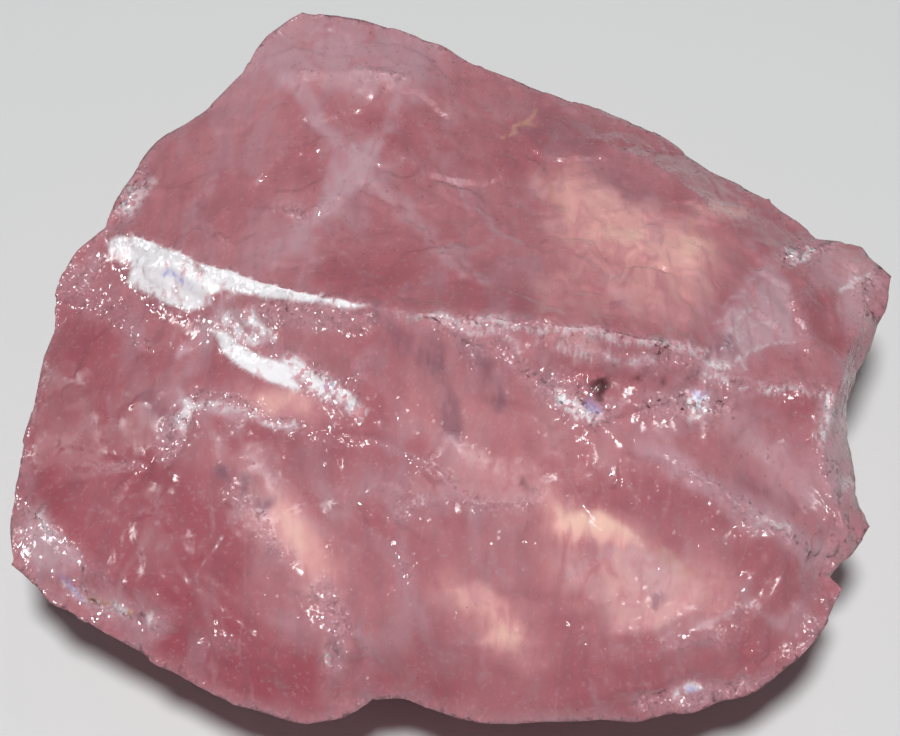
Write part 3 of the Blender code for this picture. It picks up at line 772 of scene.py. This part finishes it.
class Shader:
    """Short ways to add and join the nodes of one material."""

    def __init__(self, name):
        self.material = bpy.data.materials.new(name)
        self.material.use_nodes = True
        self.tree = self.material.node_tree
        self.surface = self.tree.nodes["Principled BSDF"]
        self.output = self.tree.nodes["Material Output"]

    def node(self, kind, settings=None, **inputs):
        """A node with its settings and its inputs, which are plain values or other nodes' sockets."""
        node = self.tree.nodes.new(kind)
        for name, value in (settings or {}).items():
            setattr(node, name, value)
        for name, value in inputs.items():
            self.put(node.inputs[name.replace("_", " ")], value)
        return node

    def put(self, socket, value):
        """Sets or links one input."""
        if isinstance(value, bpy.types.NodeSocket):
            self.tree.links.new(value, socket)
        else:
            socket.default_value = value

    def mark(self, name):
        """A stored number of the mesh."""
        return self.node("ShaderNodeAttribute", {"attribute_name": name}).outputs["Fac"]

    def maths(self, operation, first, second=0.0, clamp=False):
        """One step of arithmetic."""
        node = self.node("ShaderNodeMath", {"operation": operation, "use_clamp": clamp})
        self.put(node.inputs[0], first)
        self.put(node.inputs[1], second)
        return node.outputs[0]

    def arrows(self, operation, first, second=(0.0, 0.0, 0.0)):
        """One step of arithmetic with arrows."""
        node = self.node("ShaderNodeVectorMath", {"operation": operation})
        self.put(node.inputs[0], first)
        self.put(node.inputs[1], second)
        return node.outputs[0]

    def scaled(self, arrow, length):
        """An arrow made longer or shorter."""
        node = self.node("ShaderNodeVectorMath", {"operation": "SCALE"})
        self.put(node.inputs[0], arrow)
        self.put(node.inputs["Scale"], length)
        return node.outputs[0]

    def clouds(self, size, detail, distortion=0.0, stretch=(1, 1, 1), seed=0.0):
        """Noise from 0 to 1 of about the given size, stretched along an axis if asked."""
        place = self.node("ShaderNodeTexCoord").outputs["Object"]
        mapping = self.node("ShaderNodeMapping", Vector=place, Scale=stretch, Location=(seed, seed, seed))
        texture = self.node("ShaderNodeTexNoise", Vector=mapping.outputs[0], Scale=1 / size, Detail=detail)
        self.put(texture.inputs["Distortion"], distortion)
        return texture.outputs["Fac"]

    def ramp(self, value, low, high):
        """0 below low and 1 above high."""
        node = self.node("ShaderNodeMapRange", {"interpolation_type": "SMOOTHSTEP"}, Value=value)
        self.put(node.inputs["From Min"], low)
        self.put(node.inputs["From Max"], high)
        return node.outputs[0]

    def mixed(self, share, first, second):
        """One colour turning into another."""
        node = self.node("ShaderNodeMix", {"data_type": "RGBA"})
        self.put(node.inputs[MIX_SHARE_INPUT], share)
        for socket, colour in zip(node.inputs[MIX_COLOUR_INPUTS], (first, second)):
            self.put(socket, colour if isinstance(colour, bpy.types.NodeSocket) else (*colour, 1.0))
        return node.outputs[MIX_COLOUR_OUTPUT]


def pattern(shader, name):
    """One of the named patterns in the quartz, from 0 to 1."""
    size, detail, distortion, stretch, seed, start, full = PATTERNS[name]
    return shader.ramp(shader.clouds(size, detail, distortion, stretch, seed), start, full)


def tinted(shader, colour, mask, share, tint):
    """A colour turned toward a tint by a share of a mask."""
    return shader.mixed(shader.maths("MULTIPLY", mask, share), colour, tint)


def shown_through(shader, name, texture, base, clamp=False):
    """A mark that shows through a texture and keeps at least a base share of itself."""
    return shader.maths("MULTIPLY", shader.mark(name), shader.maths("ADD", texture, base), clamp=clamp)


def shard_values(shader):
    """A random number from 0 to 1 for each long shard."""
    place = shader.node("ShaderNodeTexCoord").outputs["Object"]
    mapping = shader.node("ShaderNodeMapping", Vector=place, Scale=SHARD_STRETCH, Rotation=SHARD_TURN)
    settings = {"feature": "F1"}
    shards = shader.node("ShaderNodeTexVoronoi", settings, Vector=mapping.outputs[0], Scale=1 / SHARD_SIZE)
    return shards.outputs["Color"]


def crack_planes(shader, gaps):
    """Where old inner cracks meet the surface as thin pale lines, with gaps."""
    cloud = shader.clouds(CRACK_SPACING, 1.0, 0.0, CRACK_STRETCH, CRACK_SEED)
    off_middle = shader.maths("ABSOLUTE", shader.maths("SUBTRACT", cloud, 0.5))
    lines = shader.maths("SUBTRACT", 1.0, shader.ramp(off_middle, 0.0, CRACK_WIDTH))
    return shader.maths("MULTIPLY", lines, gaps)


def cloudy_rose(shader, streaks, grains):
    """The body of the stone: rose with deeper clouds, painted shade, haze, veins, old cracks, dust and dark
    streaks.
    """
    colour = tinted(shader, ROSE, pattern(shader, "cloud"), CLOUD_SHARE, DEEP_ROSE)
    colour = tinted(shader, colour, pattern(shader, "haze"), HAZE_SHARE, MILK)
    # Painted shade: the walls and the darker faces turn to the deeper rose.
    wall = shader.maths("MULTIPLY", shader.mark("wall"), WALL_SHADE)
    painted_shade = shader.maths("MAXIMUM", shader.mark("painted_shade"), wall)
    colour = tinted(shader, colour, painted_shade, PAINTED_SHADE_SHARE, DEEP_ROSE)
    colour = tinted(shader, colour, pattern(shader, "veins"), VEIN_SHARE, MILK)
    colour = tinted(shader, colour, crack_planes(shader, streaks), CRACK_SHARE, MILK)
    colour = tinted(shader, colour, shader.ramp(grains, DUST_START, DUST_FULL), DUST_SHARE, MILK)
    return tinted(shader, colour, shader.maths("SUBTRACT", 1.0, streaks), STREAK_SHARE, SMOKE_AND_SHADE)


def veiled(shader, colour, fibres, streaks):
    """Painted warm glows, milky veils, smoky streaks and painted shade in a pit, over a colour."""
    colour = shader.mixed(shown_through(shader, "glow", fibres, PAINTED_GLOW_BASE, clamp=True), colour, PAINTED_GLOW_PEACH)
    faint_fibres = shader.maths("MULTIPLY", fibres, PAINTED_GLOW_CORE_FIBRES)
    colour = shader.mixed(shown_through(shader, "core", faint_fibres, PAINTED_GLOW_CORE_BASE), colour, PAINTED_GLOW_YELLOW)
    colour = shader.mixed(shown_through(shader, "milk", fibres, MILK_BASE), colour, MILK)
    # Smoky streaks, and the painted shade of the pit at the crest's end.
    return shader.mixed(shader.maths("MULTIPLY", shader.mark("smoke_and_shade"), streaks), colour, SMOKE_AND_SHADE)


def painted_glare_and_glints(shader, fibres):
    """Painted highlights: white glints in shards along the ridges, and white glare over the mirror-bright
    lobes.
    """
    shards = shader.ramp(shard_values(shader), SHARD_START, SHARD_FULL)
    bright = shown_through(shader, "bright", shards, PAINTED_GLINT_BASE, clamp=True)
    glassy = shader.maths("ADD", shader.maths("MULTIPLY", shards, PAINTED_GLARE_SHARDS), fibres)
    mirror = shown_through(shader, "mirror", glassy, PAINTED_GLARE_BASE, clamp=True)
    return shader.maths("MAXIMUM", bright, mirror)


def quartz_colour(shader):
    """Cloudy rose with veils, painted glows, shade and glare, rainbow glints and rusty specks."""
    fibres = pattern(shader, "fibres")
    streaks = pattern(shader, "streaks")
    grains = shader.clouds(GRAIN_SIZE, 1.0, seed=GRAIN_SEED)
    colour = veiled(shader, cloudy_rose(shader, streaks, grains), fibres, streaks)
    colour = tinted(shader, colour, shader.mark("hackle"), HACKLE_SHARE, PALE_EDGE)
    # Painted highlights: the white glare and glints.
    colour = shader.mixed(painted_glare_and_glints(shader, fibres), colour, PAINTED_GLARE_WHITE)
    colour = shader.mixed(shader.mark("violet"), colour, VIOLET_GLINT)
    colour = shader.mixed(shader.mark("amber"), colour, AMBER_GLINT)
    colour = shader.mixed(shader.maths("MULTIPLY", shader.mark("stain"), streaks), colour, STAIN)
    return tinted(shader, colour, shader.ramp(grains, SPECK_START, SPECK_FULL), SPECK_SHARE, STAIN)


def flakes(shader, size):
    """For each flake of about the given size, a random number and a random arrow."""
    place = shader.node("ShaderNodeTexCoord").outputs["Object"]
    cells = shader.node("ShaderNodeTexVoronoi", {"feature": "F1"}, Vector=place, Scale=1 / size)
    arrow = shader.arrows("SUBTRACT", cells.outputs["Color"], (0.5, 0.5, 0.5))
    return cells.outputs["Color"], arrow


def quartz_relief(shader):
    """The finest unevenness: small tilted flakes where the break is rough, and a few glints elsewhere."""
    straight = shader.node("ShaderNodeNewGeometry").outputs["Normal"]
    rough = shader.maths("MULTIPLY", shader.mark("hackle"), FLAKE_TILT)
    fine_value, fine_flakes = flakes(shader, GLINT_SIZE)
    coarse_flakes = flakes(shader, COARSE_FLAKE_SIZE)[1]
    rare = shader.ramp(fine_value, GLINT_RARITY, GLINT_RARITY + GLINT_EDGE)
    quiet = shader.maths("MAXIMUM", shader.mark("glow"), shader.mark("painted_shade"))
    rare = shader.maths("MULTIPLY", rare, shader.maths("SUBTRACT", 1.0, quiet))
    fine_tilt = shader.maths("ADD", rough, shader.maths("MULTIPLY", rare, GLINT_TILT))
    coarse_share = shader.maths("MULTIPLY", rough, COARSE_FLAKE_SHARE)
    coarse_tilt = shader.maths("ADD", coarse_share, COARSE_FLAKE_TILT)
    arrow = shader.arrows("ADD", straight, shader.scaled(fine_flakes, fine_tilt))
    arrow = shader.arrows("ADD", arrow, shader.scaled(coarse_flakes, coarse_tilt))
    return shader.arrows("NORMALIZE", arrow)


def quartz_roughness(shader):
    """Gloss that changes a little over the faces, and is softer in the calm places and the bright lobes."""
    uneven = shader.maths("MULTIPLY", pattern(shader, "uneven"), UNEVEN_ROUGHNESS)
    roughness = shader.maths("ADD", uneven, ROUGHNESS)
    for name, share in (("calm", CALM_ROUGHNESS), ("mirror", MIRROR_ROUGHNESS)):
        roughness = shader.maths("ADD", roughness, shader.maths("MULTIPLY", shader.mark(name), share))
    return roughness


def quartz_clearness(shader):
    """How much light goes in: less through veils, painted glows and the painted glare and glints."""
    white = shader.maths("MAXIMUM", shader.mark("mirror"), shader.mark("bright"))
    milk = shader.maths("MULTIPLY", shader.mark("milk"), MILK_CLOUDINESS)
    cloudy = shader.maths("MAXIMUM", white, shader.maths("MAXIMUM", shader.mark("glow"), milk))
    return shader.maths("MULTIPLY", shader.maths("SUBTRACT", 1.0, cloudy), CLEARNESS)


def rose_quartz():
    """Glassy, half clear pink quartz."""
    shader = Shader("rose quartz")
    shader.put(shader.surface.inputs["Base Color"], quartz_colour(shader))
    shader.put(shader.surface.inputs["Roughness"], quartz_roughness(shader))
    shader.put(shader.surface.inputs["IOR"], QUARTZ_IOR)
    shader.put(shader.surface.inputs["Transmission Weight"], quartz_clearness(shader))
    shader.put(shader.surface.inputs["Normal"], quartz_relief(shader))
    absorption = shader.node("ShaderNodeVolumeAbsorption")
    shader.put(absorption.inputs["Color"], (*ABSORPTION_COLOUR, 1.0))
    shader.put(absorption.inputs["Density"], ABSORPTION_DENSITY)
    shader.put(shader.output.inputs["Volume"], absorption.outputs[0])
    return shader.material


def plain_material(name, colour, roughness):
    """One even matt colour."""
    shader = Shader(name)
    shader.put(shader.surface.inputs["Base Color"], (*colour, 1.0))
    shader.put(shader.surface.inputs["Roughness"], roughness)
    return shader.material


def add_floor():
    """A wide, plain pale table top."""
    mesh = bpy.data.meshes.new("floor")
    corners = [(x * FLOOR_REACH, y * FLOOR_REACH, 0) for x, y in ((-1, -1), (1, -1), (1, 1), (-1, 1))]
    mesh.from_pydata(corners, [], [(0, 1, 2, 3)])
    mesh.materials.append(plain_material("paper", FLOOR_WHITE, FLOOR_ROUGHNESS))
    floor = bpy.data.objects.new("floor", mesh)
    bpy.context.scene.collection.objects.link(floor)


def add_light(name, direction, size, power, shades, glints):
    """A round light that looks at the stone."""
    data = bpy.data.lights.new(name, "AREA")
    data.shape = "DISK"
    data.size = size
    data.energy = power
    light = bpy.data.objects.new(name, data)
    light.visible_diffuse = shades
    light.visible_glossy = glints
    toward = Vector(direction).normalized()
    light.location = CAMERA_TARGET + toward * LIGHT_DISTANCE
    light.rotation_euler = toward.to_track_quat("Z", "Y").to_euler()
    bpy.context.scene.collection.objects.link(light)


def add_world():
    """An even, dim surround."""
    world = bpy.data.worlds.new("studio")
    world.use_nodes = True
    background = world.node_tree.nodes["Background"]
    background.inputs["Color"].default_value = (*WORLD_COLOUR, 1.0)
    background.inputs["Strength"].default_value = WORLD_STRENGTH
    bpy.context.scene.world = world


def set_render_colours_and_bounces():
    """Plain colours, and no more bounces of light than the stone needs."""
    scene = bpy.context.scene
    scene.view_settings.view_transform = "Standard"
    scene.cycles.max_bounces = 4
    scene.cycles.diffuse_bounces = 2
    scene.cycles.glossy_bounces = 2
    scene.cycles.transmission_bounces = 3
    scene.cycles.volume_bounces = 0
    scene.cycles.caustics_reflective = False
    scene.cycles.caustics_refractive = False


def add_camera():
    """The photograph's camera."""
    data = bpy.data.cameras.new("camera")
    data.sensor_width = SENSOR_WIDTH_MM
    data.lens = FOCAL_PX / PHOTO_WIDTH * SENSOR_WIDTH_MM
    data.clip_start = CLIP_START
    camera = bpy.data.objects.new("camera", data)
    forward = view_axes()[0]
    camera.location = CAMERA_TARGET - forward * CAMERA_DISTANCE
    camera.rotation_euler = forward.to_track_quat("-Z", "Y").to_euler()
    bpy.context.scene.collection.objects.link(camera)
    bpy.context.scene.camera = camera


def add_stone(node, cad_box):
    """The visible stone, in the place of its CAD solid."""
    stone = subdivided(node)
    broken_skin(stone, cad_box)
    stone.data.materials.clear()
    stone.data.materials.append(rose_quartz())
    stone.data.shade_smooth()
    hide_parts(NODE)
    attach(stone, "root")


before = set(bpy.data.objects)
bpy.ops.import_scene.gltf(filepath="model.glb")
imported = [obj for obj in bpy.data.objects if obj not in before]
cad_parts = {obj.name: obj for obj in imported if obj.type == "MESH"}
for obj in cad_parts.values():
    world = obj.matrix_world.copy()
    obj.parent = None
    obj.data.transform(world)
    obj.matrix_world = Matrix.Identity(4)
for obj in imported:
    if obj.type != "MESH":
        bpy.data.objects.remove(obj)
cad_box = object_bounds()
noise.seed_set(NOISE_SEED)
add_stone(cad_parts[NODE], cad_box)
add_floor()
for light in LIGHTS:
    add_light(*light)
add_world()
add_camera()
set_render_colours_and_bounces()
